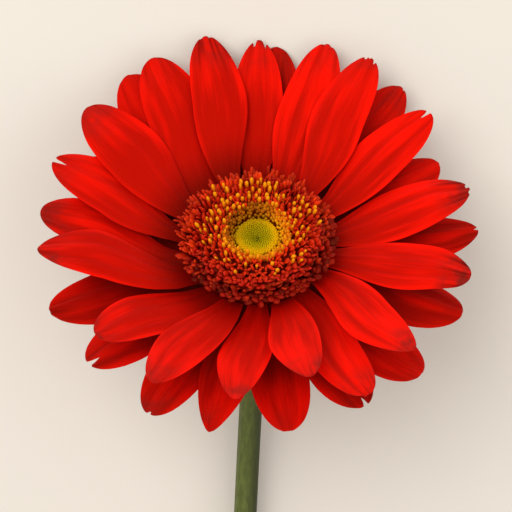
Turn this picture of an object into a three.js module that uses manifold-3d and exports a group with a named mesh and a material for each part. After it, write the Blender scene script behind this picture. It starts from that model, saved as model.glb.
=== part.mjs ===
// Cut gerbera, lying down: one bent stem with its swollen receptacle, two rows of bracts under the head,
// two rows of ray petals, and four rings of disc florets. Millimetres, +Z up, origin at the middle of the
// footprint. The stem runs along -Y; the head is at the +Y end and leans back on the tips of its petals.
// Inside the head, heights run along its own axis from a level between the feet of the two rows of rays.
import * as THREE from "three";
import { mergeVertices } from "three/addons/utils/BufferGeometryUtils.js";
import Module from "manifold-3d";

// Whole flower
const HEAD_TILT = 45; // degrees from facing straight up towards +Y
const STEM_LENGTH = 250; // from the middle of the head to the cut end, along the ground
const STEM_RADIUS = 2.8;
const STEM_DRIFT = 14; // how far the cut end lies to the left of the head
const CLEARANCE = 0.3; // least air between neighbouring pieces

// Receptacle, the swollen top of the stem
const SEAT_RADIUS = 11.7; // wall that the rays grow from
const SEAT_TOP = 1.4; // height of its rim
const CUP_DEPTH = 15; // from height 0 down to the stem
const CUP_RIM = 4.6; // depth where the cup meets the straight wall
const SEAT_CROWN = 0.9; // how far the receptacle's top bulges above its rim

// Ray petals
const RAY_THICKNESS = 0.5;
const RAY_START = SEAT_RADIUS + CLEARANCE;
const RAY_EDGE_DROP = 0.5; // how far a ray's sides hang below its middle line
const LAYER_STEP = 1.3; // height between rays that lie over one another
const RAY_FOOT_FILL = 0.79; // share of the way round the receptacle that a row's feet take up
const ROW_DROP = 2 * LAYER_STEP + RAY_THICKNESS; // from the inner row's feet down to the outer row's
const INNER_RAY = { reach: 50, width: 12.8, footHeight: 0.8 };
const OUTER_RAY = { reach: 52, width: 13.2, footHeight: INNER_RAY.footHeight - ROW_DROP };

// Bracts
const BRACT_THICKNESS = 0.6;
const BRACTS_PER_ROW = 10;
const BRACT_FILL = 0.72; // share of the way round the cup that a row of bracts takes up
const BRACT_FOOT = 0.12; // where a bract starts along the cup's outline, from the stem (0) to the rim (1)
const BRACT_TIP = 1.05; // where it ends
const BRACT_TAPERS_AT = 0.45; // share of a bract's length where it begins to narrow

// Disc of florets
const DISC_RADIUS = 19.6;
const DISC_HEIGHT = 8.8; // height of the disc's crest
const PIT_RADIUS = 5.7; // hollow of unopened buds in the middle
const PIT_DEPTH = 2.6;

// Each ray: direction of its tip in degrees, how much longer than its row's reach, degrees that it rises
// from its foot, and layer over or under its neighbours.
const INNER_RAYS = [
  { turn: 89.5, longer: 7, lift: 15, layer: -1 },
  { turn: 103, longer: 8, lift: 14.5, layer: 1 },
  { turn: 117, longer: 7, lift: 14, layer: 0 },
  { turn: 141, longer: 4.5, lift: 14, layer: 1 },
  { turn: 158, longer: 4, lift: 13.5, layer: 0 },
  { turn: 173, longer: 3, lift: 12.5, layer: -1 },
  { turn: 187, longer: 3, lift: 12.5, layer: 1 },
  { turn: 218, longer: -2, lift: 15, layer: -1 },
  { turn: 241, longer: 0.5, lift: 15, layer: 1 },
  { turn: 264, longer: -1.5, lift: 17, layer: -1 },
  { turn: 286, longer: -5, lift: 18.5, layer: 1 },
  { turn: 300, longer: 2, lift: 11.5, layer: -1 },
  { turn: 317, longer: 0.5, lift: 13.5, layer: 1 },
  { turn: 348, longer: 2.5, lift: 11.5, layer: 0 },
  { turn: 374, longer: 3.5, lift: 14, layer: -1 },
  { turn: 398, longer: 4.5, lift: 15, layer: 0 },
  { turn: 420, longer: 7, lift: 14.5, layer: 1 },
  { turn: 432, longer: 7.5, lift: 14.5, layer: 0 },
];
const OUTER_RAYS = [
  { turn: 85, longer: 5, lift: 14.5, layer: 0 },
  { turn: 123, longer: 6.5, lift: 12.5, layer: 0 },
  { turn: 150, longer: -1, lift: 9, layer: -1 },
  { turn: 176, longer: -1, lift: 7.5, layer: 0 },
  { turn: 197, longer: 0.5, lift: 2, layer: -1 },
  { turn: 217, longer: -1.5, lift: 1, layer: 0 },
  { turn: 239, longer: -2, lift: -1, layer: -1 },
  { turn: 257, longer: -2, lift: -1, layer: 0 },
  { turn: 279, longer: -4, lift: -2.5, layer: -1 },
  { turn: 301, longer: -2.5, lift: 0.5, layer: 0 },
  { turn: 320, longer: -1, lift: -0.5, layer: -1 },
  { turn: 340, longer: 0.5, lift: 3.5, layer: 0 },
  { turn: 366, longer: 2.5, lift: 6, layer: -1 },
  { turn: 388, longer: -1, lift: 9, layer: 0 },
  { turn: 412, longer: 7, lift: 11, layer: -1 },
];

const PETAL_RED = new THREE.Color(0xd8150c);
const SHADED_RED = new THREE.Color(0xa80f08);
const FLORET_RED = new THREE.Color(0xa8200f);
const FLORET_ORANGE = new THREE.Color(0xd0501a);
const BUD_YELLOW = new THREE.Color(0xa9a01c);
const STEM_GREEN = new THREE.Color(0x5c6a30);
const BRACT_GREEN = new THREE.Color(0x4c5c28);

const radians = THREE.MathUtils.degToRad;
const blend = THREE.MathUtils.lerp;
const ease = THREE.MathUtils.smoothstep;

function piece(name, geometry, color, roughness) {
  const material = new THREE.MeshStandardMaterial({ color, roughness, metalness: 0 });
  const mesh = new THREE.Mesh(geometry, material);
  mesh.name = name;
  return mesh;
}

// Moves every vertex of a flat box, whose coordinates run over -0.5..0.5, to place(along, across, side).
function shaped(box, place) {
  const at = box.getAttribute("position");
  const point = new THREE.Vector3();
  for (let i = 0; i < at.count; i++) {
    point.fromBufferAttribute(at, i);
    point.copy(place(point.x + 0.5, point.y * 2, point.z * 2));
    at.setXYZ(i, point.x, point.y, point.z);
  }
  box.computeVertexNormals();
  return box;
}

// Places along a ray, from its foot (0) to its tip (1)
const WIDEST_AT = 0.64;
const OUTLINE_END = 1.04; // where the tip's elliptical outline would close
const LAYERED_AT = 0.24; // the rays are clear of one another from here on
const TURNED_AT = 0.7; // the ray points in its own direction from here on

// Width of a ray: narrow at its foot, widest past the middle, rounded at the tip.
function rayWidth(along, row, footWidth) {
  if (along < WIDEST_AT) {
    return blend(footWidth, row.width, ease(along, 0, WIDEST_AT));
  }
  const past = (along - WIDEST_AT) / (OUTLINE_END - WIDEST_AT);
  return row.width * Math.sqrt(1 - past * past);
}

function layerHeight(layer, along) {
  return layer * LAYER_STEP * ease(along, 0, LAYERED_AT);
}

// One ray grows from an even place round the receptacle and turns to the direction that its tip points in.
function ray(name, row, { turn, longer, lift, layer }, rootTurn, footWidth, color) {
  const reach = row.reach + longer;
  const slope = Math.tan(radians(lift));
  const box = new THREE.BoxGeometry(1, 1, 1, 8, 4, 1);
  const geometry = shaped(box, (along, across, side) => {
    const radius = blend(RAY_START, reach, along);
    const angle = radians(blend(rootTurn, turn, ease(along, 0, TURNED_AT)));
    const sideways = (across * rayWidth(along, row, footWidth)) / 2;
    const rise = slope * (radius - RAY_START);
    const edge = -RAY_EDGE_DROP * across * across * ease(along, 0, LAYERED_AT);
    return new THREE.Vector3(
      radius * Math.cos(angle) - sideways * Math.sin(angle),
      radius * Math.sin(angle) + sideways * Math.cos(angle),
      row.footHeight + rise + layerHeight(layer, along) + edge + (side * RAY_THICKNESS) / 2,
    );
  });
  return piece(name, geometry, color, 0.6);
}

function rayRow(label, row, rays, firstTurn, color) {
  const step = 360 / rays.length;
  const footWidth = RAY_FOOT_FILL * RAY_START * radians(step);
  return rays.map((each, i) =>
    ray(`${label}_${i + 1}`, row, each, firstTurn + i * step, footWidth, color),
  );
}

// The cup's outline under the head, from the stem (0) to the rim (1), moved outwards by an offset.
const cupCurve = new THREE.QuadraticBezierCurve(
  new THREE.Vector2(STEM_RADIUS + 0.1, -CUP_DEPTH),
  new THREE.Vector2(SEAT_RADIUS - 2.1, 2.2 - CUP_DEPTH),
  new THREE.Vector2(SEAT_RADIUS, -CUP_RIM),
);
function cupPoint(along, offset) {
  const point = cupCurve.getPoint(along);
  const tangent = cupCurve.getTangent(Math.min(along, 1));
  return new THREE.Vector2(point.x + tangent.y * offset, point.y - tangent.x * offset);
}

function bract(name, angle, offset) {
  const box = new THREE.BoxGeometry(1, 1, 1, 7, 2, 1);
  const geometry = shaped(box, (along, across, side) => {
    const thickness = (-side * BRACT_THICKNESS) / 2;
    const point = cupPoint(blend(BRACT_FOOT, BRACT_TIP, along), offset + thickness);
    const taper = Math.sqrt(1 - (Math.max(0, along - BRACT_TAPERS_AT) / 0.6) ** 2);
    const turn = angle + (across * BRACT_FILL * taper * Math.PI) / BRACTS_PER_ROW;
    return new THREE.Vector3(point.x * Math.cos(turn), point.x * Math.sin(turn), point.y);
  });
  return piece(name, geometry, BRACT_GREEN, 0.8);
}

function bractRow(label, offset, phase) {
  const step = (2 * Math.PI) / BRACTS_PER_ROW;
  return Array.from({ length: BRACTS_PER_ROW }, (_, i) =>
    bract(`${label}_${i + 1}`, (i + phase) * step, offset),
  );
}

// Top of the highest inner ray at a radius near the disc's edge, which the disc overhangs.
function highestRay(radius) {
  const tops = INNER_RAYS.map(({ longer, lift, layer }) => {
    const along = (radius - RAY_START) / (INNER_RAY.reach + longer - RAY_START);
    return Math.tan(radians(lift)) * (radius - RAY_START) + layerHeight(layer, along);
  });
  return INNER_RAY.footHeight + RAY_THICKNESS / 2 + Math.max(...tops);
}

// Borders between the rings of florets, from the middle outwards: radius at the foot, radius and height
// at the crown. Each border leans outwards.
const CROWN_BULGE = 0.6; // how far a ring's crown stands above its borders
const FOOT_HEIGHT = SEAT_TOP + SEAT_CROWN + CLEARANCE;
const BORDERS = [
  { foot: 0, crown: 0, height: DISC_HEIGHT - PIT_DEPTH },
  { foot: 0.27 * SEAT_RADIUS, crown: PIT_RADIUS, height: DISC_HEIGHT - 2 },
  { foot: 0.55 * SEAT_RADIUS, crown: blend(PIT_RADIUS, DISC_RADIUS, 0.41), height: DISC_HEIGHT - 0.6 },
  { foot: 0.78 * SEAT_RADIUS, crown: blend(PIT_RADIUS, DISC_RADIUS, 0.71), height: DISC_HEIGHT - 1.2 },
  { foot: SEAT_RADIUS, crown: DISC_RADIUS, height: highestRay(DISC_RADIUS) + CLEARANCE + CROWN_BULGE },
];
const BORDER_GAP = 0.35; // taken off each ring at a border, so that the leaning faces keep the clearance

function floretRing(name, inner, outer, color) {
  const gap = inner.crown > 0 ? BORDER_GAP : 0;
  const low = [inner.foot + gap, outer.foot - BORDER_GAP];
  const high = [inner.crown + gap, outer.crown - BORDER_GAP];
  const crownHeight = (inner.height + outer.height) / 2 + CROWN_BULGE;
  const outline = [
    [low[0], FOOT_HEIGHT],
    [low[1], FOOT_HEIGHT],
    [high[1], outer.height - CROWN_BULGE],
    [blend(high[0], high[1], 0.8), crownHeight - CROWN_BULGE / 2],
    [blend(high[0], high[1], 0.4), crownHeight - (gap ? 0 : CROWN_BULGE)],
    [high[0], inner.height - CROWN_BULGE],
  ];
  if (gap) {
    outline.push(outline[0]);
  }
  const points = outline.map(([radius, height]) => new THREE.Vector2(radius, height));
  return piece(name, new THREE.LatheGeometry(points, 28).rotateX(Math.PI / 2), color, 0.7);
}

// Positions only, with shared vertices merged, as a manifold-3d solid.
const wasm = await Module();
wasm.setup();
function solid(geometry) {
  const bare = geometry.index ? geometry.toNonIndexed() : geometry.clone();
  bare.deleteAttribute("normal");
  bare.deleteAttribute("uv");
  const merged = mergeVertices(bare, 1e-4);
  return new wasm.Manifold(
    new wasm.Mesh({
      numProp: 3,
      vertProperties: merged.getAttribute("position").array,
      triVerts: new Uint32Array(merged.index.array),
    }),
  );
}
function geometryOf(made) {
  const mesh = made.getMesh();
  const geometry = new THREE.BufferGeometry();
  geometry.setAttribute("position", new THREE.BufferAttribute(mesh.vertProperties, 3));
  geometry.setIndex(new THREE.BufferAttribute(mesh.triVerts, 1));
  geometry.computeVertexNormals();
  return geometry;
}

const head = new THREE.Group();
head.rotation.x = -radians(HEAD_TILT);
head.add(...rayRow("inner_ray", INNER_RAY, INNER_RAYS, 91, PETAL_RED));
head.add(...rayRow("outer_ray", OUTER_RAY, OUTER_RAYS, 92, SHADED_RED));
head.add(...bractRow("inner_bract", BRACT_THICKNESS / 2 + 2 * CLEARANCE, 0));
head.add(...bractRow("outer_bract", 1.5 * BRACT_THICKNESS + 3.3 * CLEARANCE, 0.5));

const RINGS = [
  ["disc_buds_centre", BUD_YELLOW],
  ["disc_florets_inner", FLORET_ORANGE],
  ["disc_florets_middle", FLORET_ORANGE],
  ["disc_florets_outer", FLORET_RED],
];
RINGS.forEach(([name, color], i) => {
  head.add(floretRing(name, BORDERS[i], BORDERS[i + 1], color));
});

// The head comes to rest on its lowest petal tips.
head.updateMatrixWorld(true);
head.position.z = -new THREE.Box3().setFromObject(head, true).min.z;
head.updateMatrixWorld(true);

// Stem: it leaves the cup along the head's axis, bends over and settles on the ground at its cut end.
const BEND_HEIGHT = 8.3; // how high the straight of the stem would stand off the ground under the head
function stemPath() {
  const onAxis = (depth) => head.localToWorld(new THREE.Vector3(0, 0, -depth));
  const along = [0.2, 0.36, 0.6, 0.8, 1].map(
    (share) =>
      new THREE.Vector3(
        -STEM_DRIFT * share ** 1.3,
        -STEM_LENGTH * share,
        STEM_RADIUS + BEND_HEIGHT * (1 - share) ** 2.2,
      ),
  );
  return new THREE.CatmullRomCurve3([onAxis(CUP_DEPTH - 3), onAxis(CUP_DEPTH + 5), ...along]);
}

function stem() {
  const section = new THREE.Shape().absarc(0, 0, STEM_RADIUS, 0, 2 * Math.PI);
  const tube = new THREE.ExtrudeGeometry(section, {
    steps: 36,
    curveSegments: 6,
    extrudePath: stemPath(),
  });
  const cup = Array.from({ length: 7 }, (_, i) => cupPoint(i / 6, 0));
  const outline = [
    new THREE.Vector2(0, -CUP_DEPTH),
    ...cup,
    new THREE.Vector2(SEAT_RADIUS, SEAT_TOP),
    new THREE.Vector2(0, SEAT_TOP + SEAT_CROWN),
  ];
  const seat = new THREE.LatheGeometry(outline, 28).rotateX(Math.PI / 2).applyMatrix4(head.matrixWorld);
  return piece("stem", geometryOf(solid(tube).add(solid(seat))), STEM_GREEN, 0.7);
}

const flower = new THREE.Group();
flower.add(stem(), head);
const footprint = new THREE.Box3().setFromObject(flower, true);
const middle = footprint.getCenter(new THREE.Vector3());
flower.position.set(-middle.x, -middle.y, -footprint.min.z);

export default flower;
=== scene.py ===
import math

import bpy
import numpy as np
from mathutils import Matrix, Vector

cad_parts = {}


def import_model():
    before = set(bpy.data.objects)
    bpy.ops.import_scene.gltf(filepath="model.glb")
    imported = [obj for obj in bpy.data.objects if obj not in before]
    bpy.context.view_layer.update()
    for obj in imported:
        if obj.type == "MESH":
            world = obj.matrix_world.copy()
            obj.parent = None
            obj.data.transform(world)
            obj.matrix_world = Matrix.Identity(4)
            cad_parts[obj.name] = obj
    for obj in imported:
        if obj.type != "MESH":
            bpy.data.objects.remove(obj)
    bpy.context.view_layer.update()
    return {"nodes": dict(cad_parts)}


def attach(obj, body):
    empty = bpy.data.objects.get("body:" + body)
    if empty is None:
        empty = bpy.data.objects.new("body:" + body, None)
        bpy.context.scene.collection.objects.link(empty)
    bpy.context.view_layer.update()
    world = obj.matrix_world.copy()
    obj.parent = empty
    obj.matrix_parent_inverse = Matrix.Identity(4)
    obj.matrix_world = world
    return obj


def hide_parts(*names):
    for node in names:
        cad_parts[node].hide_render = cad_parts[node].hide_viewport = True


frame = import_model()

MM = 0.001
random = np.random.default_rng(7)


def ease(value, low, high):
    """0 below low, 1 above high, smooth between."""
    t = np.clip((value - low) / (high - low), 0, 1)
    return t * t * (3 - 2 * t)


def bump_at(value, centre, width):
    """A smooth bump, 1 at centre."""
    return np.exp(-(((value - centre) / width) ** 2))


def unit(vector):
    return vector / np.linalg.norm(vector)


def circle(count):
    """Angles spread evenly over a turn."""
    return np.arange(count) * 2 * math.pi / count


def path_lengths(points):
    """Distance along a path at each of its points."""
    return np.concatenate([[0], np.cumsum(np.linalg.norm(np.diff(points, axis=0), axis=1))])


# ---------------------------------------------------------------- the head's own frame, from the CAD nodes

def mesh_corners(mesh):
    points = np.zeros(len(mesh.vertices) * 3)
    mesh.vertices.foreach_get("co", points)
    return points.reshape(-1, 3)


def node_points(name):
    """A CAD node's corners in metres, each once."""
    return np.unique(mesh_corners(frame["nodes"][name].data).round(7), axis=0)


def cut(edges, values, level):
    """Where edges cross a level; values holds the measure at both ends of each edge."""
    crossing = (values.min(1) < level) & (values.max(1) >= level)
    first, second = edges[crossing, 0], edges[crossing, 1]
    low, high = values[crossing, 0], values[crossing, 1]
    return first + (second - first) * ((level - low) / (high - low))[:, None]


def middle_of(prefix):
    """Mean place of the nodes whose names start the same way."""
    names = [name for name in frame["nodes"] if name.startswith(prefix)]
    return np.mean([node_points(name).mean(0) for name in names], axis=0)


class Head:
    """Turns world metres to the head's own mm and back.

    a is to the right, b up the face, and h out along the head's axis from the florets' feet.
    """

    def __init__(self):
        ring = node_points("disc_florets_outer")
        centre = ring.mean(0)
        self.axis = np.linalg.svd(ring - centre)[2][2]
        if self.axis @ (centre - middle_of("inner_bract")) < 0:
            self.axis = -self.axis
        sideways = np.array([1.0, 0.0, 0.0])
        self.right = unit(sideways - self.axis * (sideways @ self.axis))
        self.up = np.cross(self.axis, self.right)
        self.origin = centre + self.axis * ((ring - centre) @ self.axis).min()

    def local(self, points):
        """World points as (a, b, h)."""
        away = (np.asarray(points) - self.origin) / MM
        return np.stack([away @ self.right, away @ self.up, away @ self.axis], -1)

    def world(self, points):
        """(a, b, h) as world points."""
        points = np.asarray(points) * MM
        spread = points[..., 0:1] * self.right + points[..., 1:2] * self.up
        return self.origin + spread + points[..., 2:3] * self.axis


head = Head()


def node_edges(name):
    """Both ends of every edge of a CAD node, in head coordinates."""
    mesh = frame["nodes"][name].data
    ends = np.zeros(len(mesh.edges) * 2, dtype=int)
    mesh.edges.foreach_get("vertices", ends)
    return head.local(mesh_corners(mesh))[ends.reshape(-1, 2)]


def off_axis(points):
    """Distance of (a, b, h) points from the head's axis."""
    return np.hypot(points[..., 0], points[..., 1])


def spread_of(points):
    """Points seen from the head's axis: middle direction, half their spread, each one's angle off it."""
    mean = unit(points[:, :2].mean(0))
    side = np.arctan2(points[:, 1] * mean[0] - points[:, 0] * mean[1], points[:, :2] @ mean)
    middle = (side.min() + side.max()) / 2
    half = (side.max() - side.min()) / 2
    return math.atan2(mean[1], mean[0]) + middle, half, side - middle


# ---------------------------------------------------------------- meshes and materials

WHITE = (1, 1, 1)
FLESH_RADIUS = (1.0, 0.15, 0.08)  # how far red, green and blue light go inside, as shares of FLESH_DEPTH
FLESH_DEPTH = 0.7 * MM
SHEEN_ROUGHNESS = 0.4


def make_piece(name, points, faces, material, slot, nodes, attributes):
    """A mesh in metres that rides on the root body and stands for some CAD nodes."""
    mesh = bpy.data.meshes.new(name)
    mesh.from_pydata(np.asarray(points).tolist(), [], faces)
    mesh.update()
    for key, values in attributes.items():
        layer = mesh.attributes.new(key, "FLOAT", "POINT")
        layer.data.foreach_set("value", np.asarray(values, dtype=np.float32).ravel())
    mesh.polygons.foreach_set("use_smooth", [True] * len(mesh.polygons))
    mesh.materials.append(material)
    piece = bpy.data.objects.new(name, mesh)
    bpy.context.scene.collection.objects.link(piece)
    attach(piece, "root")
    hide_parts(*nodes)


def thin_shell(top, bottom):
    """Closed shell from two grids of points: flat point array and faces."""
    rows, columns = top.shape[:2]
    points = np.concatenate([top.reshape(-1, 3), bottom.reshape(-1, 3)])
    index = np.arange(rows * columns).reshape(rows, columns)
    under = index + rows * columns
    faces = []
    for i in range(rows - 1):
        for j in range(columns - 1):
            faces.append((index[i, j], index[i + 1, j], index[i + 1, j + 1], index[i, j + 1]))
            faces.append((under[i, j], under[i, j + 1], under[i + 1, j + 1], under[i + 1, j]))
    ring = [(i, 0) for i in range(rows)]
    ring += [(rows - 1, j) for j in range(1, columns)]
    ring += [(i, columns - 1) for i in range(rows - 2, -1, -1)]
    ring += [(0, j) for j in range(columns - 2, 0, -1)]
    for here, after in zip(ring, ring[1:] + ring[:1]):
        faces.append((index[after], index[here], under[here], under[after]))
    return points, [tuple(int(n) for n in face) for face in faces]


def both_sheets(values, shape):
    """A thin shell's attributes: each value for the points of its top sheet, then of its bottom one."""
    return {key: np.tile(np.broadcast_to(value, shape).ravel(), 2) for key, value in values.items()}


def shade_of(color, share, more=0.0):
    """A color made darker or lighter."""
    return tuple(min(1.0, share * part + more) for part in color)


class Shader:
    """Adds nodes to one material, with the Principled shader as its end."""

    def __init__(self, name, roughness, specular, subsurface, tint=WHITE, sheen=0.0, sheen_tint=WHITE):
        self.material = bpy.data.materials.new(name)
        self.material.use_nodes = True
        self.tree = self.material.node_tree
        self.end = self.tree.nodes["Principled BSDF"]
        settings = {
            "Roughness": roughness,
            "Specular IOR Level": specular,
            "Specular Tint": (*tint, 1),
            "Sheen Weight": sheen,
            "Sheen Roughness": SHEEN_ROUGHNESS,
            "Sheen Tint": (*sheen_tint, 1),
            "Subsurface Weight": subsurface,
            "Subsurface Radius": FLESH_RADIUS,
            "Subsurface Scale": FLESH_DEPTH,
        }
        for key, value in settings.items():
            self.end.inputs[key].default_value = value

    def plug(self, socket, value):
        """Gives a socket a link from another node, or a constant."""
        if hasattr(value, "is_output"):
            self.tree.links.new(value, socket)
        else:
            socket.default_value = value

    def node(self, kind, **inputs):
        """A new node. An underscore in a keyword stands for the space in its socket's name."""
        made = self.tree.nodes.new(kind)
        for key, value in inputs.items():
            self.plug(made.inputs[key.replace("_", " ")], value)
        return made

    def attribute(self, name):
        made = self.tree.nodes.new("ShaderNodeAttribute")
        made.attribute_name = name
        return made.outputs["Fac"]

    def place(self):
        """Position on the object in metres."""
        return self.tree.nodes.new("ShaderNodeTexCoord").outputs["Object"]

    def math(self, operation, *values):
        made = self.tree.nodes.new("ShaderNodeMath")
        made.operation = operation
        for socket, value in zip(made.inputs, values):
            self.plug(socket, value)
        return made.outputs[0]

    def plus(self, first, second):
        return self.math("ADD", first, second)

    def times(self, first, second):
        return self.math("MULTIPLY", first, second)

    def between(self, value, low, high, out_low=0.0, out_high=1.0):
        """A smooth step from out_low to out_high."""
        made = self.node(
            "ShaderNodeMapRange", Value=value, From_Min=low, From_Max=high, To_Min=out_low, To_Max=out_high
        )
        made.interpolation_type = "SMOOTHSTEP"
        return made.outputs["Result"]

    def mix(self, factor, first, second):
        """A color between two others."""
        made = self.tree.nodes.new("ShaderNodeMix")
        made.data_type = "RGBA"
        self.plug(made.inputs[0], factor)
        for socket, value in ((made.inputs[6], first), (made.inputs[7], second)):
            self.plug(socket, value if hasattr(value, "is_output") else (*value, 1))
        return made.outputs[2]

    def noise(self, vector, scale, detail):
        return self.node("ShaderNodeTexNoise", Vector=vector, Scale=scale, Detail=detail).outputs["Fac"]

    def grain(self, scale, detail=2.0):
        """Noise that is the same in all directions; scale is in waves per metre."""
        return self.noise(self.place(), scale, detail)

    def lines(self, across, along, scale, detail):
        """Noise that is stretched along the piece."""
        x = self.times(self.attribute("across"), across)
        y = self.times(self.attribute("along"), along)
        where = self.node("ShaderNodeCombineXYZ", X=x, Y=y, Z=self.attribute("tone"))
        return self.noise(where.outputs[0], scale, detail)

    def finish(self, color, height, depth):
        """Connects the color and a bump map that is depth mm deep, and hands the material over."""
        bump = self.node("ShaderNodeBump", Height=height, Strength=1.0, Distance=depth * MM)
        self.plug(self.end.inputs["Base Color"], color)
        self.plug(self.end.inputs["Normal"], bump.outputs["Normal"])
        return self.material


def petal_material(name, lit, deep, dull_shaded_tip_color, shaded_to):
    """Scarlet velvet: streaks, fine veins and a duller back, with painted shade at the foot, in the folds
    and creases and over the rays on the far side of the head, a painted highlight on the rim, and a duller
    tip that is partly painted shade.
    """
    s = Shader(name, 0.55, 0.14, 0.06, (1, 0.25, 0.08), sheen=0.02, sheen_tint=(1, 0.2, 0.1))
    along, across = s.attribute("along"), s.attribute("across")
    streaks = s.lines(across=1.7, along=1.5, scale=1.3, detail=2.5)
    veins = s.lines(across=22.0, along=2.6, scale=1.0, detail=3.0)
    creases = s.lines(across=4.5, along=1.5, scale=1.0, detail=2.0)
    tip_patches = s.grain(190.0)

    # painted light and shade: the ray is drawn darker towards its foot and lighter towards its tip; the
    # streaks and veins are its own tone
    light = s.plus(s.between(along, 0.25, 0.85, 0.2, 0.75), s.between(streaks, 0.3, 0.7, -0.3, 0.25))
    light = s.plus(light, s.between(veins, 0.35, 0.6, -0.12, 0.04))
    # painted shade in the folds
    light = s.plus(light, s.times(s.attribute("fold"), -0.3))
    # painted shade: rays on the far side of the head are darker; a value below 0 is painted light
    light = s.math("SUBTRACT", light, s.attribute("painted_shade"))
    # painted highlight along the rim
    light = s.plus(light, s.between(s.math("ABSOLUTE", across), 0.72, 1.0, 0.0, 0.35))
    color = s.mix(s.between(light, 0.0, 1.0), deep, lit)

    # painted shade at the foot, where the ray lies near the disc and under its neighbours
    foot = s.times(s.between(along, 0.17, shaded_to, 0.92, 0.0), s.attribute("covered"))
    color = s.mix(foot, color, shade_of(deep, 0.3))
    # a duller, darker tip: partly its own duller red, partly painted shade where the tip bends over
    tip = s.times(s.between(along, 0.74, 0.98), s.attribute("dull_shaded_tip"))
    tip = s.times(tip, s.between(tip_patches, 0.4, 0.62, 0.3, 1.2))
    color = s.mix(tip, color, dull_shaded_tip_color)
    # painted shade in the creases near the tip
    crease = s.times(s.between(along, 0.72, 0.96), s.between(creases, 0.45, 0.68, 0.0, 0.85))
    crease = s.times(crease, s.attribute("crease"))
    color = s.mix(crease, color, shade_of(deep, 0.25))
    color = s.mix(s.times(s.attribute("under"), 0.75), color, shade_of(lit, 0.6, 0.02))
    height = s.plus(s.times(veins, 1.4), s.times(s.grain(2600.0), 0.25))
    return s.finish(color, height, 0.07)


def floret_material(name):
    """Red-orange corollas, redder outwards, and yellow anthers; painted shade darkens each floret towards
    its foot, and a painted highlight lightens the tips of its lobes.
    """
    s = Shader(name, 0.45, 0.16, 0.06, (1, 0.5, 0.2))
    along, outwards = s.attribute("along"), s.attribute("outwards")
    # painted shade: each lobe is darkest at its foot, down among its neighbours
    low = s.mix(outwards, (0.62, 0.018, 0.001), (0.04, 0.0006, 0.0004))
    high = s.mix(outwards, (1.0, 0.05, 0.003), (0.4, 0.0035, 0.002))
    corolla = s.mix(s.between(along, 0.0, 0.85), low, high)
    # painted highlight: the tips of the lobes are lighter and more orange
    tip_highlight = s.times(s.between(along, 0.75, 1.0), s.between(outwards, 0.2, 1.0, 0.5, 0.25))
    corolla = s.mix(tip_highlight, corolla, (0.66, 0.045, 0.018))
    anther = s.mix(s.between(along, 0.2, 0.75), (0.6, 0.08, 0.002), (0.85, 0.31, 0.004))
    anther = s.mix(s.between(outwards, -1.0, -0.2, 0.9, 0.0), anther, (0.9, 0.55, 0.002))
    color = s.mix(s.attribute("accent"), corolla, anther)
    # tone darkens a floret: random variation, plus painted shade on the stubby side of the head and on one
    # side of the pit
    color = s.mix(s.times(s.attribute("tone"), 0.8), color, (0.09, 0.0015, 0.001))
    return s.finish(color, s.grain(2200.0), 0.04)


def bud_material(name):
    """Closed buds, green in the middle of the head and golden at the pit's rim; their accent is dark."""
    s = Shader(name, 0.5, 0.1, 0.1, (1, 0.9, 0.3))
    along, outwards = s.attribute("along"), s.attribute("outwards")
    color = s.mix(s.between(outwards, 0.0, 0.6), (0.22, 0.2, 0.001), (0.5, 0.38, 0.001))
    color = s.mix(s.between(outwards, 0.55, 1.0), color, (0.8, 0.44, 0.001))
    color = s.mix(s.between(along, 0.0, 0.6, 0.35, 0.0), color, (0.25, 0.18, 0.001))
    # tone darkens a bud: random variation, plus painted shade on one side of the pit
    color = s.mix(s.times(s.attribute("tone"), 0.6), color, (0.2, 0.14, 0.001))
    color = s.mix(s.attribute("accent"), color, (0.03, 0.03, 0.002))
    return s.finish(color, s.grain(2600.0), 0.05)


def green_material(name, pale, dark):
    """Matt green with fine ribs and faint blotches, paler where it is cut, with painted shade along one
    side.
    """
    s = Shader(name, 0.5, 0.25, 0.05, sheen=0.04, sheen_tint=(0.9, 1, 0.7))
    ribs = s.lines(across=9.0, along=6.0, scale=1.0, detail=3.0)
    color = s.mix(s.between(ribs, 0.35, 0.65), dark, pale)
    color = s.mix(s.between(s.grain(90.0, 3.0), 0.4, 0.7, 0.0, 0.25), color, shade_of(pale, 0.8))
    color = s.mix(s.attribute("paler"), color, shade_of(pale, 2.0, 0.08))
    color = s.mix(s.attribute("shade"), color, shade_of(dark, 0.3))
    return s.finish(color, s.plus(ribs, s.times(s.grain(1500.0), 0.3)), 0.06)


# ---------------------------------------------------------------- ray petals

ALONG_STEPS = 56
ACROSS_STEPS = 36
PETAL_THICKNESS = 0.28
RAY_SLICES = 28
FOOT_MARGIN = 0.05  # mm at the foot of a CAD ray that is too narrow to slice
TIP_MARGIN = 0.35  # and at its tip
SHADED_RAYS_SIDE = math.radians(160)  # painted shade: the rays on this side of the head are painted a deeper red
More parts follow.
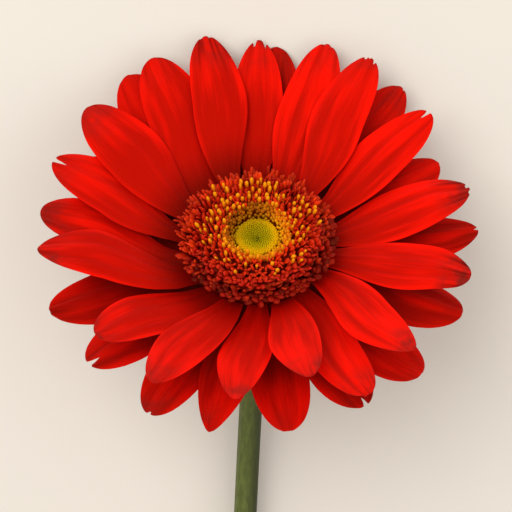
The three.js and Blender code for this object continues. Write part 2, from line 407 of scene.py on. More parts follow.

# What each ray's tip does.
# notches: (place across, depth in mm). curl: how far the tip bends over, in mm. dull_shaded_tip: how dull
# and dark its tip is, partly its own duller red and partly painted shade where it bends. crease: how much
# painted
# shade lies in its creases, 0 to 1. pleat: extra depth of its folds, in mm. point: how pointed it is.
# wide: the width against the CAD node's. foot: how slender the ray starts. covered: how much painted shade
# it
# gets at its foot, under its neighbours. turned: degrees that the tip swings from the CAD node's.
# painted_shade:
# how much painted shade deepens its red; below 0 it is painted light. trim: mm that it ends short of the CAD
# node.
TIPS = {
    "inner_ray_1": {"notches": [(-0.42, 1.6), (0.3, 1.8)], "dull_shaded_tip": 0.5, "wide": 1.0, "foot": 2.2},
    "inner_ray_2": {"pleat": 0.5, "dull_shaded_tip": 0.5, "crease": 0.8, "foot": 2.0},
    "inner_ray_3": {"wide": 1.3, "notches": [], "foot": 1.2, "turned": 0.6},
    "inner_ray_4": {"dull_shaded_tip": 0.5, "wide": 1.28, "notches": [], "foot": 1.9},
    "inner_ray_5": {"notches": [(-0.1, 3.6)], "dull_shaded_tip": 0.3, "wide": 1.15, "foot": 3.4},
    "inner_ray_6": {"dull_shaded_tip": 0.6, "wide": 1.15, "notches": [], "crease": 0.5, "foot": 3.0},
    "inner_ray_7": {"dull_shaded_tip": 0.9, "wide": 1.15, "point": 1.3, "crease": 0.5, "notches": [], "foot": 1.8},
    "inner_ray_8": {"dull_shaded_tip": 0.7, "wide": 1.05, "notches": []},
    "inner_ray_9": {"dull_shaded_tip": 0.6, "point": 0.9, "wide": 1.0},
    "inner_ray_10": {"point": 1.4, "dull_shaded_tip": 0.7, "wide": 0.96, "notches": []},
    "inner_ray_11": {"dull_shaded_tip": 0.9, "point": 1.2, "wide": 0.97, "notches": []},
    "inner_ray_12": {"pleat": 0.6, "dull_shaded_tip": 0.5, "wide": 1.0, "crease": 0.6},
    "inner_ray_13": {"dull_shaded_tip": 0.9, "point": 1.2, "wide": 1.02, "notches": [], "painted_shade": -0.2},
    "inner_ray_14": {"curl": -2.5, "dull_shaded_tip": 1.0, "wide": 1.05, "crease": 0.9, "notches": []},
    "inner_ray_15": {
        "pleat": 0.7, "dull_shaded_tip": 0.7, "notches": [(0.3, 0.8), (-0.2, 0.6)], "crease": 1.0, "curl": -1.2,
    },
    "inner_ray_16": {"notches": [(0.15, 2.8)], "wide": 1.05, "foot": 2.2},
    "inner_ray_17": {"notches": [(-0.35, 1.0), (0.3, 1.0), (0.05, 0.6)], "wide": 1.1, "foot": 2.2},
    "inner_ray_18": {"pleat": 0.4, "crease": 0.6, "wide": 1.1, "painted_shade": -0.15, "foot": 2.2},
    "outer_ray_2": {"wide": 1.4, "dull_shaded_tip": 0.2, "notches": [], "covered": 0.1, "turned": 1.0, "painted_shade": -0.3},
    "outer_ray_4": {"trim": 3.5},
    "outer_ray_5": {"pleat": 0.5, "crease": 0.7},
    "outer_ray_6": {"notches": [(0.1, 3.2)], "wide": 1.1},
    "outer_ray_7": {"wide": 1.05, "dull_shaded_tip": 0.7, "notches": [(0.05, 1.1)]},
    "outer_ray_8": {"wide": 0.98, "dull_shaded_tip": 0.6, "notches": [], "point": 1.6},
    "outer_ray_9": {"wide": 1.1, "dull_shaded_tip": 0.3, "notches": []},
    "outer_ray_10": {"notches": [(0.1, 2.6)], "painted_shade": 0.45},
    "outer_ray_12": {"painted_shade": 0.3},
    "outer_ray_13": {"notches": [(0.1, 1.2)], "point": 0.9, "crease": 0.8, "painted_shade": 0.3},
}


def polar_slices(name):
    """A ray node cut by cylinders round the head's axis: radii, directions, half widths and heights."""
    edges = node_edges(name)
    distances = off_axis(edges)
    rows = []
    for radius in np.linspace(distances.min() + FOOT_MARGIN, distances.max() - TIP_MARGIN, RAY_SLICES):
        points = cut(edges, distances, radius)
        turn, half, side = spread_of(points)
        near = np.abs(side) < 0.45 * half + 1e-3
        rows.append((radius, turn, half * radius, points[near, 2].mean()))
    radii, turns, halves, heights = np.array(rows).T
    return radii, np.unwrap(turns), halves, heights


def petal(name, material, slot):
    """A ray petal that follows its CAD node, with a rounded or notched tip and folds along it.

    Random numbers are drawn even where TIPS holds a value, so that most entries leave the
    other petals alone.
    """
    look = TIPS.get(name, {})
    radii, turns, halves, heights = polar_slices(name)
    foot = radii[0]
    length = radii[-1] + TIP_MARGIN - look.get("trim", 0.0) - foot
    u = np.linspace(0, 1, ALONG_STEPS + 1)[:, None]
    v = np.sin(np.linspace(-0.5, 0.5, ACROSS_STEPS + 1) * math.pi)[None, :]
    outer = name.startswith("outer")
    # how far the ray lies on the side of the head that gets painted shade
    far = float(ease(math.cos(turns[-1] - SHADED_RAYS_SIDE), -0.1, 0.5))

    # outline: it swells from the CAD node's foot to the widest place, and each line along the ray ends where
    # the rounded tip does
    point = look.get("point", random.uniform(0.2, 0.7))
    widest = halves.max() * look.get("wide", random.uniform(1.08, 1.16))
    widest_at = random.uniform(0.54, 0.62)
    ramp = np.linspace(0, 1, 200)
    outline = (1 - ramp ** (2.3 - 0.5 * point)) ** (1 / (2.1 - 0.4 * point))
    narrowing = 1 - 0.5 * ramp**2
    end = widest_at + (1 - widest_at) * np.interp(-np.abs(v), -outline / narrowing, ramp)
    notches = look.get("notches")
    if notches is None:
        notches = [(random.uniform(-0.4, 0.4), random.uniform(0.0, 0.35))]
    for at, depth in notches:
        end = end - depth / length * bump_at(v, at, 0.04 + 0.02 * depth)
    x = u * end
    radius = foot + x * length
    slender = look.get("foot", 0.9 if outer else 1.75 - 0.35 * far)
    swell = np.sin(0.5 * math.pi * np.clip(x / widest_at, 0, 1)) ** slender
    past = np.clip((x - widest_at) / (1 - widest_at), 0, 1)
    half = (halves[1] + (widest - halves[1]) * swell) * (1 - 0.5 * past**2)
    wobble = 1 + 0.02 * np.sin(9 * x + random.uniform(0, 6)) * np.sign(v)
    sideways = half * v * wobble

    # height: the CAD node's middle line, then folds, edges, waves and the tip's bend
    body = ease(x, 0.02, 0.3) * (1 - 0.45 * ease(x, 0.75, 1.0))
    tip_share = ease(x, 0.7, 1.0)
    height = np.polynomial.Polynomial.fit(radii, heights, 5)(radius) - 0.55 * v**2 * ease(x, 0.0, 0.3)
    # fold marks where the folds run, for the painted shade in them
    fold = 0 * height
    for at in (-0.38, 0.38):
        at = at + random.uniform(-0.1, 0.1)
        depth = random.uniform(0.12, 0.4)
        height = height - body * depth * bump_at(v, at, 0.18)
        height = height - tip_share * look.get("pleat", 0.12) * bump_at(v, at * 0.7, 0.1)
        fold = fold + random.uniform(0.3, 1.0) * body * bump_at(v, at, 0.12)
    for at in (-0.75, 0.0, 0.75):
        at = at + random.uniform(-0.06, 0.06)
        height = height - body * random.uniform(0.02, 0.14) * bump_at(v, at, 0.1)
    height = height + 0.3 * body * random.uniform(-1, 1) * np.sin(3.2 * x + random.uniform(0, 6))
    left, right = random.uniform(-0.35, 0.35, 2)
    height = height + np.where(v < 0, left, right) * np.abs(v) ** 3 * ease(x, 0.25, 0.6)
    height = height + look.get("curl", random.uniform(-0.5, 0.5)) * tip_share**2

    turn = np.interp(radius, radii, turns) + math.radians(look.get("turned", 0.0)) * ease(x, 0.0, 0.7)
    a = radius * np.cos(turn) - sideways * np.sin(turn)
    b = radius * np.sin(turn) + sideways * np.cos(turn)
    thick = PETAL_THICKNESS * (1 - 0.6 * np.abs(v) ** 6) * (1 - 0.5 * ease(u, 0.9, 1.0))
    points, faces = thin_shell(np.stack([a, b, height], -1), np.stack([a, b, height - thick], -1))
    values = {
        "along": x,
        "across": v,
        "tone": random.uniform(0, 40),
        # painted shade in these values: in the folds, at the tip (with its own duller red), in the creases,
        # under the neighbours at the foot, and over the whole ray on the far side of the head
        "fold": np.clip(fold, 0, 1),
        "dull_shaded_tip": look.get("dull_shaded_tip", random.uniform(0.0, 0.35)),
        "crease": look.get("crease", 0.25),
        "covered": look.get("covered", 1.0 if outer else 0.45 + 0.5 * far),
        "painted_shade": look.get("painted_shade", 0.27 * far),
    }
    attributes = both_sheets(values, a.shape)
    attributes["under"] = np.repeat([0, 1], a.size)
    make_piece(name + "_petal", head.world(points), faces, material, slot, [name], attributes)


inner_material = petal_material(
    "inner_petal",
    lit=(0.88, 0.0045, 0.0008),
    deep=(0.46, 0.0022, 0.0004),
    dull_shaded_tip_color=(0.24, 0.01, 0.008),
    shaded_to=0.45,
)
# The outer rays' darker colours are partly their own deeper red and partly painted shade from the inner row
# above them; their painted foot shade also reaches farther.
outer_material = petal_material(
    "outer_petal",
    lit=(0.7, 0.0035, 0.0007),
    deep=(0.32, 0.0016, 0.0004),
    dull_shaded_tip_color=(0.24, 0.008, 0.006),
    shaded_to=0.88,
)
for node in sorted(frame["nodes"]):
    if node.startswith("inner_ray"):
        petal(node, inner_material, "inner_petal")
    if node.startswith("outer_ray"):
        petal(node, outer_material, "outer_petal")


# ---------------------------------------------------------------- disc

GOLDEN_ANGLE = math.radians(137.508)
SHADED_PIT_SIDE = math.radians(130)  # painted shade makes the pit a deeper gold on this side
STUBBY_SIDE = math.radians(-70)  # the disc's outer florets are stubby on this side
LOBE_ROWS = 8
LOBE_SIDES = 8
BED_STEPS = 14
BED_SIDES = 72
BED_FLOOR = 0.6  # height of a bed's underside


class Cluster:
    """Many small closed bodies gathered into one mesh."""

    def __init__(self):
        self.points, self.faces, self.values, self.count = [], [], [], 0

    def add(self, points, faces, along, tone, outwards, accent):
        """Adds (a, b, h) points with four values for the material, each one number or one per point.

        accent is how yellow a floret is, or how dark a bud.
        """
        points = np.asarray(points).reshape(-1, 3)
        self.points.append(points)
        self.faces += [tuple(self.count + n for n in face) for face in faces]
        values = (along, tone, outwards, accent)
        columns = [np.broadcast_to(np.ravel(value), len(points)) for value in values]
        self.values.append(np.stack(columns, -1))
        self.count += len(points)

    def make(self, name, material, slot, node):
        values = np.concatenate(self.values)
        attributes = dict(zip(("along", "tone", "outwards", "accent"), values.T))
        points = head.world(np.concatenate(self.points))
        make_piece(name, points, self.faces, material, slot, [node], attributes)


def tube_faces(rows, sides):
    """Faces of a closed tube: rings of points, then the bottom pole and the top pole."""
    faces = []
    for i in range(rows - 1):
        for j in range(sides):
            k = (j + 1) % sides
            faces.append((i * sides + j, i * sides + k, (i + 1) * sides + k, (i + 1) * sides + j))
    bottom, top = rows * sides, rows * sides + 1
    for j in range(sides):
        k = (j + 1) % sides
        faces.append((bottom, k, j))
        faces.append((top, (rows - 1) * sides + j, (rows - 1) * sides + k))
    return faces


LOBE_FACES = tube_faces(LOBE_ROWS, LOBE_SIDES)


def lobe(cluster, base, towards, side, size, bend, belly, tone, outwards, accent=0.0):
    """A rounded finger that grows from base.

    size: its length, width and thickness; side: the direction of its width; bend: how far its tip swings
    off the straight, in mm; belly: where it is widest, 0 foot to 1 tip.
    """
    length, width, thick = size
    towards = unit(np.asarray(towards, dtype=float))
    side = unit(side - towards * (side @ towards))
    out = np.cross(towards, side)
    t = np.linspace(0.0, 1.0, LOBE_ROWS + 2)[1:-1]
    t = 1 - (1 - t) ** 1.25
    around = circle(LOBE_SIDES)
    rise = np.sin(0.5 * math.pi * np.clip(t / belly, 0, 1)) * 0.5 + 0.5
    fall = np.sqrt(1 - np.clip((t - belly) / (1.02 - belly), 0, 1) ** 2.2)
    share = (rise * fall)[:, None]
    spine = base + towards * (length * t)[:, None] + out * (bend * t**2)[:, None]
    across = (0.5 * width * share * np.cos(around))[..., None] * side
    deep = (0.5 * thick * share * np.sin(around))[..., None] * out
    rings = spine[:, None, :] + across + deep
    poles = np.array([base, base + towards * length + out * bend])
    along = np.concatenate([np.repeat(t, LOBE_SIDES), [0, 1]])
    points = np.concatenate([rings.reshape(-1, 3), poles])
    cluster.add(points, LOBE_FACES, along, tone, outwards, accent)


def crown_profile():
    """Highest point of the CAD disc over each radius."""
    edges = np.concatenate([node_edges(name) for name in frame["nodes"] if name.startswith("disc_")])
    distances = off_axis(edges)
    radii = np.linspace(0.4, distances.max() - 0.02, 60)
    return radii, np.array([cut(edges, distances, radius)[:, 2].max() for radius in radii])


CROWN_RADII, CROWN_TOPS = crown_profile()
CROWN_END = CROWN_RADII[-1] - 0.6  # the CAD disc's rim rounds over from here, and the florets don't follow


def crown(radius):
    """Height of the disc's top."""
    return np.interp(min(radius, CROWN_END), CROWN_RADII, CROWN_TOPS)


def border(name):
    """Outer radius of a disc node."""
    return off_axis(head.local(node_points(name))).max()


PIT = border("disc_buds_centre")
INNER = border("disc_florets_inner")
MIDDLE = border("disc_florets_middle")
OUTER = border("disc_florets_outer")
OPENING = PIT + 0.42 * (INNER - PIT)  # where the florets begin to open


def ring_bed(cluster, inside, outside, sunk, **values):
    """What one ring's florets stand on: a closed band whose top is sunk mm under the CAD crown."""
    radii = np.linspace(max(inside, 0.02), outside, BED_STEPS)
    top = [(radius, crown(radius) - sunk) for radius in radii]
    loop = np.array([(radii[0], BED_FLOOR), (0.8 * outside + 0.2 * inside, BED_FLOOR)] + top[::-1])
    around = circle(BED_SIDES)
    spread = np.stack([np.cos(around), np.sin(around)], -1)
    grid = np.concatenate([loop[:, None, :1] * spread, np.repeat(loop[:, None, 1:], BED_SIDES, 1)], -1)
    faces = []
    for i in range(len(loop)):
        here, after = i * BED_SIDES, ((i + 1) % len(loop)) * BED_SIDES
        for j in range(BED_SIDES):
            k = (j + 1) % BED_SIDES
            faces.append((here + j, here + k, after + k, after + j))
    cluster.add(grid, faces, **values)


def spiral(count, reach, stray):
    """Places of the florets, from the middle out: radius and turn. Each one strays a little."""
    for n in range(count):
        radius = reach * math.sqrt((n + 0.5) / count)
        turn = n * GOLDEN_ANGLE
        if radius > 2 * stray:
            turn += random.uniform(-stray, stray) / radius
            radius += random.uniform(-stray, stray)
        yield radius, turn


def spot(radius, turn, above):
    """A place above the disc's top, or below it."""
    return np.array([radius * math.cos(turn), radius * math.sin(turn), crown(radius) + above])


def leaning(turn, lean):
    """Direction that leans out from the axis by an angle in radians."""
    out = math.sin(lean)
    return np.array([out * math.cos(turn), out * math.sin(turn), math.cos(lean)])


def tangent(turn):
    return np.array([-math.sin(turn), math.cos(turn), 0.0])


def pit_shade(turn):
    """1 on the side of the pit that gets painted shade, 0 on the other."""
    return float(ease(math.cos(turn - SHADED_PIT_SIDE), -0.2, 0.9))


def stubbiness(turn):
    """The florets at the foot of the head are stubby, those across from them slender."""
    return float(ease(math.cos(turn - STUBBY_SIDE), -0.4, 0.75))


def either(stubby, slender_range, stubby_range):
    """A random measure from the first range, or from the second one as far as a floret is stubby."""
    return random.uniform(*slender_range) * (1 - stubby) + random.uniform(*stubby_range) * stubby


buds, inner_florets, middle_florets, outer_florets = Cluster(), Cluster(), Cluster(), Cluster()


def bud(radius, turn):
    """A closed bud in the pit; the ones right in the middle are low and dark."""
    share = radius / PIT
    width = 0.42 + 0.4 * share**2 + random.uniform(-0.05, 0.05)
    dark = float(ease(-radius, -0.95, -0.4))
    length, above = (0.25, -0.15) if dark > 0.4 else (0.5 + 0.75 * share**3, -0.28)
    # random variation, plus painted shade on one side of the pit
    tone = random.uniform(0, 0.25) + 0.9 * share * pit_shade(turn)
    lobe(
        buds, spot(radius, turn, above), leaning(turn, -0.3 * share), tangent(turn), (length, width, width),
        bend=0, belly=0.5, tone=tone, outwards=share, accent=dark,
    )


def young_floret(radius, turn):
    """A rounded golden bud round the pit."""
    share = min((radius - PIT) / (OPENING - PIT), 1.0)
    towards = leaning(turn, -0.3 + 0.3 * share + random.uniform(-0.15, 0.15))
    width = 0.62 + 0.38 * share + random.uniform(-0.08, 0.14)
    size = (1.2 + 1.0 * share + random.uniform(-0.2, 0.4), width, width * 0.9)
    yellow = 1 - random.uniform(0.0, 0.4) * share
    bend = random.uniform(-0.2, 0.2)
    # random variation, plus painted shade on one side of the pit
    tone = random.uniform(0, 0.25 + 0.15 * share) + 0.65 * pit_shade(turn)
    lobe(
        inner_florets, spot(radius, turn, -0.6), towards, tangent(turn), size,
        bend=bend, belly=0.7, tone=tone, outwards=share - 1, accent=yellow,
    )


def open_floret(cluster, radius, turn):
    """Red-orange lobes round a yellow anther tip; fewer anthers show farther out."""
    share = (radius - OPENING) / (MIDDLE - OPENING)
    stubby = stubbiness(turn) * share
    towards = leaning(turn, -0.1 + 0.65 * share + random.uniform(-0.12, 0.12))
    base = spot(radius - 0.5 * share, turn, -1.0 + 0.9 * bump_at(share, 0.25, 0.35))
    tone = random.uniform(0, 0.3)
    if random.uniform() < 0.98 - 0.7 * share**1.7 - 0.45 * stubby:
        length = random.uniform(2.5, 3.7)
        shaft = (length - 0.9, 0.55, 0.55)
        lobe(
            cluster, base, towards, tangent(turn), shaft,
            bend=0, belly=0.5, tone=tone, outwards=share, accent=0.3,
        )
        thick = random.uniform(0.6, 1.05)
        anther = (random.uniform(1.6, 2.7), thick, thick * random.uniform(0.85, 1.0))
        lobe(
            cluster, base + towards * (length - 1.5), towards, tangent(turn), anther,
            bend=random.uniform(-0.3, 0.3), belly=0.62, tone=0.2 * tone, outwards=0, accent=1,
        )
    for n in range(3):
        spin = turn + (n - 1) * 1.3 + random.uniform(-0.4, 0.4)
        foot = base + 0.45 * np.array([math.cos(spin), math.sin(spin), 0])
        aim = unit(towards + 0.35 * leaning(spin, 1.3) + 0.1 * random.normal(size=3))
        wide = random.uniform(0.75, 1.1) + 0.55 * stubby
        size = (random.uniform(2.0, 3.2), wide, random.uniform(0.4, 0.6) + 0.3 * stubby)
        lobe(
            cluster, foot, aim, tangent(spin), size,
            bend=random.uniform(-0.5, 0.3), belly=0.65, tone=tone, outwards=share,
        )


def rim_floret(radius, turn):
    """A strap-shaped outer floret with several lobes."""
    share = (radius - MIDDLE) / (OUTER - MIDDLE)
    stubby = stubbiness(turn)
    tilt = 0.55 + 0.6 * share + random.uniform(-0.1, 0.1)
    towards = leaning(turn + random.uniform(-0.12, 0.12), tilt)
    base = spot(radius - 1.0, turn, -1.4)
    for n in range(4 if stubby < 0.5 else 3):
        # random variation, plus painted shade on the stubby side at the foot of the head
        tone = random.uniform(0, 0.6) + 0.45 * stubby
        wide = either(stubby, (0.7, 1.05), (1.2, 1.8))
        thick = either(stubby, (0.42, 0.6), (0.65, 0.9))
        length = either(stubby, (2.6, 4.2), (1.9, 2.7))
        shift = tangent(turn) * random.uniform(-0.9, 0.9) + towards * random.uniform(-0.8, 0.4)
        aim = unit(towards + 0.16 * random.normal(size=3))
        side = tangent(turn) + 0.4 * random.normal(size=3)
        lobe(
            outer_florets, base + shift, aim, side, (length, wide, thick),
            bend=random.uniform(-0.9, 0.2), belly=0.7, tone=tone, outwards=share,
        )


def stubby_floret(radius, turn):
    """A short curled lobe on the slope at the foot of the head."""
    share = float(np.clip((radius - MIDDLE + 1.5) / (OUTER - MIDDLE + 1.5), 0, 1))
    turned = turn + random.uniform(-0.15, 0.15)
    towards = leaning(turned, 0.35 + 0.75 * share + random.uniform(-0.15, 0.15))
    size = (random.uniform(1.8, 2.6), random.uniform(1.5, 2.2), random.uniform(0.75, 1.05))
    side = tangent(turn) + 0.4 * random.normal(size=3)
    # their high tone is painted shade at the foot of the head, with random variation
    lobe(
        outer_florets, spot(radius - 0.6, turn, -1.0), towards, side, size,
        bend=random.uniform(-0.8, -0.1), belly=0.7, tone=random.uniform(0.5, 1.35), outwards=1,
    )


ring_bed(buds, 0.0, PIT, sunk=0.1, along=0.8, tone=0.2, outwards=0.3, accent=0)
ring_bed(inner_florets, PIT + 0.3, INNER, sunk=0.9, along=0.1, tone=0.8, outwards=0.3, accent=0.1)
ring_bed(middle_florets, INNER + 0.3, MIDDLE, sunk=0.8, along=0.3, tone=0.4, outwards=0.7, accent=0)
ring_bed(outer_florets, MIDDLE + 0.3, OUTER - 1.4, sunk=1.5, along=0.0, tone=0.9, outwards=1.0, accent=0)
for radius, turn in spiral(count=330, reach=PIT, stray=0.05):
    bud(radius, turn)
for radius, turn in spiral(count=520, reach=OPENING + 0.7, stray=0.2):
    if radius > PIT + 0.35:
        young_floret(radius, turn)
for radius, turn in spiral(count=560, reach=OUTER - 0.6, stray=0.3):
    if radius > MIDDLE - 1.5 and stubbiness(turn) > 0.3:
        stubby_floret(radius, turn)
for radius, turn in spiral(count=410, reach=OUTER - 1.1, stray=0.45):
    if OPENING < radius < INNER:
        open_floret(inner_florets, radius, turn)
    elif INNER <= radius < MIDDLE:
        open_floret(middle_florets, radius, turn)
    elif radius >= MIDDLE:
        rim_floret(radius, turn)

buds.make("centre_buds", bud_material("bud"), "bud", "disc_buds_centre")
for cluster, ring, slot in (
    (inner_florets, "inner", "floret_yellow"),
    (middle_florets, "middle", "floret_orange"),
    (outer_florets, "outer", "floret_red"),
):
    cluster.make(ring + "_florets", floret_material(slot), slot, "disc_florets_" + ring)


# ---------------------------------------------------------------- stem

STEM_SIDES = 48
STEM_SWELL = 1.05  # the skin's radius against the CAD stem's, so that its grooves don't make it thinner
CUT_DEPTH = 1  # mm of the stem's length that its slanting cut end takes up
NECK_LOW = -19  # up to this height, in head coordinates, the CAD stem is sliced square to Y,
NECK_HIGH = -17  # and from this one up square to the head's axis
STEM_SLICES = 120
RECEPTACLE_SLICES = 26
STEM_STEPS = 130
RECEPTACLE_STEPS = 60  # finer ones, over the upper end
RECEPTACLE_LENGTH = 24
STRAIGHT_STEPS = 30  # how many of those, at the top, face along the head's axis
SMOOTHING = 7  # steps that the path is averaged over
RIB_LENGTH = 20  # mm of stem for one unit of the material's pattern

# The cut end's rings, for a firm green edge round a pale, slightly sunken pith.
# Each: share of the radius, depth in mm, how pale.
CUT_RINGS = ((0.35, 0.35, 1), (0.78, 0.25, 1), (0.9, 0.05, 0.5), (0.985, 0.0, 0))


def stem_rings():
    """Centre and radius along the stem, in mm of the part's frame, from the cut end to the top."""
    corners = node_points("stem") / MM
    end = corners[:, 1].min() + CUT_DEPTH
    local = node_edges("stem")
    placed = head.world(local) / MM
    rings = []
    for level in np.linspace(end, placed[..., 1].max() - 1, STEM_SLICES):
        points = cut(placed, placed[..., 1], level)
        half = (points[:, 0].max() - points[:, 0].min()) / 2
        centre = (points.max(0) + points.min(0)) / 2
        if head.local(centre * MM)[2] < NECK_LOW:
            rings.append((*centre, half))
    rings.insert(0, (*corners[corners[:, 1] < end].mean(0), rings[0][3]))
    for height in np.linspace(NECK_HIGH, local[..., 2].max() - 0.05, RECEPTACLE_SLICES):
        points = cut(local, local[..., 2], height)
        rings.append((*(head.world((0, 0, height)) / MM), off_axis(points).max()))
    return np.array(rings)


def stem():
    """The stem's skin: the CAD node's rings, smoothed and finely ribbed, with the receptacle at its top."""
    rings = stem_rings()
    lengths = path_lengths(rings[:, :3])
    finer = lengths[-1] - RECEPTACLE_LENGTH
    coarse_steps = np.linspace(0, finer, STEM_STEPS)[:-1]
    steps = np.concatenate([coarse_steps, np.linspace(finer, lengths[-1], RECEPTACLE_STEPS)])
    *centres, radii = (np.interp(steps, lengths, column) for column in rings.T)
    pads = [np.pad(line, SMOOTHING // 2, mode="reflect", reflect_type="odd") for line in centres]
    kernel = np.ones(SMOOTHING) / SMOOTHING
    centres = np.stack([np.convolve(line, kernel, mode="valid") for line in pads], -1)
    tangents = np.gradient(centres, axis=0)
    tangents /= np.linalg.norm(tangents, axis=1)[:, None]
    tangents[-STRAIGHT_STEPS:] = head.axis
    side = np.cross(tangents, (1.0, 0.0, 0.0))
    side /= np.linalg.norm(side, axis=1)[:, None]
    other = np.cross(tangents, side)
    around = circle(STEM_SIDES)
    ribs = 1 + 0.018 * np.sin(9 * around + 0.8 * np.sin(2 * around)) + 0.012 * np.sin(5 * around + 1)
    wave = 1 + 0.02 * np.sin(steps / 17.0)[:, None] * np.cos(around + 1)
    size = radii[:, None] * ribs * wave * STEM_SWELL
    centres[:, 2] = np.maximum(centres[:, 2], size.max(1) + 0.02)  # nothing may go under the ground
    spokes = np.cos(around)[:, None] * side[:, None, :] + np.sin(around)[:, None] * other[:, None, :]
    skin = centres[:, None, :] + size[..., None] * spokes

    shares, depths, pale = np.array(CUT_RINGS).T
    inwards = (skin[0] - centres[0]) * shares[:, None, None] + tangents[0] * depths[:, None, None]
    grid = np.concatenate([centres[0] + inwards, skin])
    poles = np.array([centres[0] + tangents[0] * 0.4, centres[-1]])
    points = np.concatenate([grid.reshape(-1, 3), poles]) * MM

    def per_ring(values):
        """One value for each ring of points, and the end ones again for the two poles."""
        return np.concatenate([np.repeat(values, STEM_SIDES), [values[0], values[-1]]])

    across = np.concatenate([np.tile(around / math.pi, len(grid)), [0, 0]])
    attributes = {
        "along": per_ring(np.concatenate([0 * pale, steps / RIB_LENGTH])),
        "across": across,
        "tone": 0 * across,
        "paler": per_ring(np.concatenate([pale, 0.35 * ease(-steps, -3.0, 0.0)])),
        # painted shade along the stem's +X side
        "shade": 0.85 * ease(-np.sin(math.pi * across), -0.3, 0.85),
    }
    faces = tube_faces(len(grid), STEM_SIDES)
    make_piece("stem_skin", points, faces, stem_green, "stem", ["stem"], attributes)


stem_green = green_material("stem", pale=(0.112, 0.138, 0.027), dark=(0.075, 0.096, 0.016))
stem()


# ---------------------------------------------------------------- bracts

BRACT_SLICES = 24
BRACT_MARGIN = 0.12  # mm at each end of a CAD bract that is too narrow to slice
BRACT_ALONG = 32
BRACT_ACROSS = 12


def bract(name):
    """A narrow green leaf of the cup, with a keel and a free pointed tip."""
    edges = node_edges(name)
    levels = edges[..., 2]
    rows = []
    for level in np.linspace(levels.min() + BRACT_MARGIN, levels.max() - BRACT_MARGIN, BRACT_SLICES):
        points = cut(edges, levels, level)
        turn, half, _ = spread_of(points)
        rows.append((off_axis(points).mean(), turn, half, level))
    radii, turns, halves, heights = np.array(rows).T
    lengths = path_lengths(np.stack([radii, heights], -1))
    u = np.linspace(0, 1, BRACT_ALONG + 1)
    v = np.linspace(-1, 1, BRACT_ACROSS + 1)
    radius, turn, half, height = (
        np.interp(u * lengths[-1], lengths, values) for values in (radii, np.unwrap(turns), halves, heights)
    )
    pointed = half.max() * np.sqrt(np.clip(1.0 - ease(u, 0.5, 1.02), 0, 1))
    angle = turn[:, None] + (np.minimum(half, pointed) + 0.004)[:, None] * v
    slope = np.stack([np.gradient(radius), np.gradient(height)], -1)
    slope /= np.linalg.norm(slope, axis=1)[:, None]
    free = 0.5 * ease(u, 0.8, 1.0)[:, None]
    keel = 0.32 - 0.14 * np.abs(v) + 0.12 * bump_at(v, 0, 0.15)
    sheets = []
    for offset in (free + keel, free - 0.12 + 0 * v):
        r = radius[:, None] + slope[:, 1:] * offset
        h = height[:, None] - slope[:, :1] * offset
        sheets.append(np.stack([r * np.cos(angle), r * np.sin(angle), h], -1))
    points, faces = thin_shell(*sheets)
    values = {
        "along": u[:, None],
        "across": v,
        "tone": random.uniform(0, 30),
        "paler": (0.25 * ease(u, 0.0, 0.5) * (1 - ease(u, 0.8, 1)))[:, None],
        "shade": 0.0,
    }
    attributes = both_sheets(values, angle.shape)
    make_piece(name + "_leaf", head.world(points), faces, bract_green, "bract", [name], attributes)


bract_green = green_material("bract", pale=(0.1, 0.16, 0.03), dark=(0.045, 0.08, 0.015))
for node in sorted(frame["nodes"]):
    if "bract" in node:
        bract(node)


# ---------------------------------------------------------------- camera, floor and light

CAMERA_DISTANCE = 0.65
CAMERA_LEAN = math.radians(11)  # off the vertical, towards the head's end
CAMERA_AIM = (-0.24, 0, 4.9)  # the place on the head, in its own mm,
AIM_DROP = 5.1  # and how many mm below it the middle of the frame is
FRAME_WIDTH = 0.1239  # what the frame spans at the head
SENSOR_WIDTH = 36
FLOOR_REACH = 6.0  # metres from its middle to each side
FLOOR_DROP = 0.1  # mm that the floor is under the part, so that they don't meet


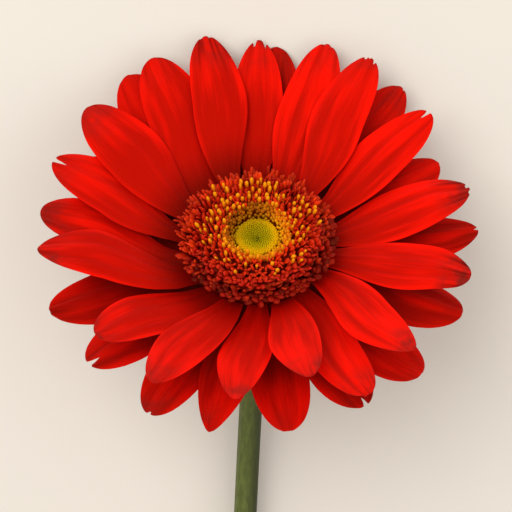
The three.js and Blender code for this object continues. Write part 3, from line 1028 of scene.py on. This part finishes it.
def stage():
    """A pale matt floor."""
    mesh = bpy.data.meshes.new("floor")
    corners = [(x * FLOOR_REACH, y * FLOOR_REACH, 0) for x, y in ((-1, -1), (1, -1), (1, 1), (-1, 1))]
    mesh.from_pydata(corners, [], [(0, 1, 2, 3)])
    floor = bpy.data.objects.new("floor", mesh)
    floor.location.z = -FLOOR_DROP * MM
    bpy.context.scene.collection.objects.link(floor)
    material = bpy.data.materials.new("floor")
    material.use_nodes = True
    shader = material.node_tree.nodes["Principled BSDF"]
    shader.inputs["Base Color"].default_value = (0.755, 0.71, 0.645, 1)
    shader.inputs["Roughness"].default_value = 0.9
    shader.inputs["Specular IOR Level"].default_value = 0.1
    mesh.materials.append(material)


def area_light(name, towards, distance, size, watts, color):
    """A square light that shines at the head from a direction."""
    target = Vector(head.world((0, 0, 0)))
    direction = Vector(towards).normalized()
    data = bpy.data.lights.new(name, "AREA")
    data.shape = "SQUARE"
    data.size = size
    data.energy = watts
    data.color = color
    lamp = bpy.data.objects.new(name, data)
    lamp.location = target + direction * distance
    lamp.rotation_mode = "QUATERNION"
    lamp.rotation_quaternion = (-direction).to_track_quat("-Z", "Y")
    bpy.context.scene.collection.objects.link(lamp)


def camera():
    """Looks down on the head, nearly from overhead, with the whole head in the frame."""
    data = bpy.data.cameras.new("camera")
    data.sensor_width = SENSOR_WIDTH
    data.lens = SENSOR_WIDTH * CAMERA_DISTANCE / FRAME_WIDTH
    data.clip_start = 0.01
    view = bpy.data.objects.new("camera", data)
    view.rotation_euler = (-CAMERA_LEAN, 0, 0)
    back = Vector((0, math.sin(CAMERA_LEAN), math.cos(CAMERA_LEAN)))
    up = Vector((0, math.cos(CAMERA_LEAN), -math.sin(CAMERA_LEAN)))
    aim = Vector(head.world(CAMERA_AIM)) - up * AIM_DROP * MM
    view.location = aim + back * CAMERA_DISTANCE
    bpy.context.scene.collection.objects.link(view)
    bpy.context.scene.camera = view


def world():
    """An even, slightly warm light from all round."""
    made = bpy.data.worlds.new("studio")
    made.use_nodes = True
    background = made.node_tree.nodes["Background"]
    background.inputs["Color"].default_value = (1.0, 0.97, 0.93, 1)
    background.inputs["Strength"].default_value = 0.74
    bpy.context.scene.world = made


stage()
camera()
world()
area_light("key", towards=(-0.42, 0.45, 1.0), distance=1.3, size=0.9, watts=8.9, color=(1.0, 0.98, 0.95))
area_light("fill", towards=(0.7, 0.0, 1.0), distance=1.5, size=1.4, watts=3.4, color=(1.0, 0.97, 0.94))
bpy.context.scene.view_settings.view_transform = "Standard"
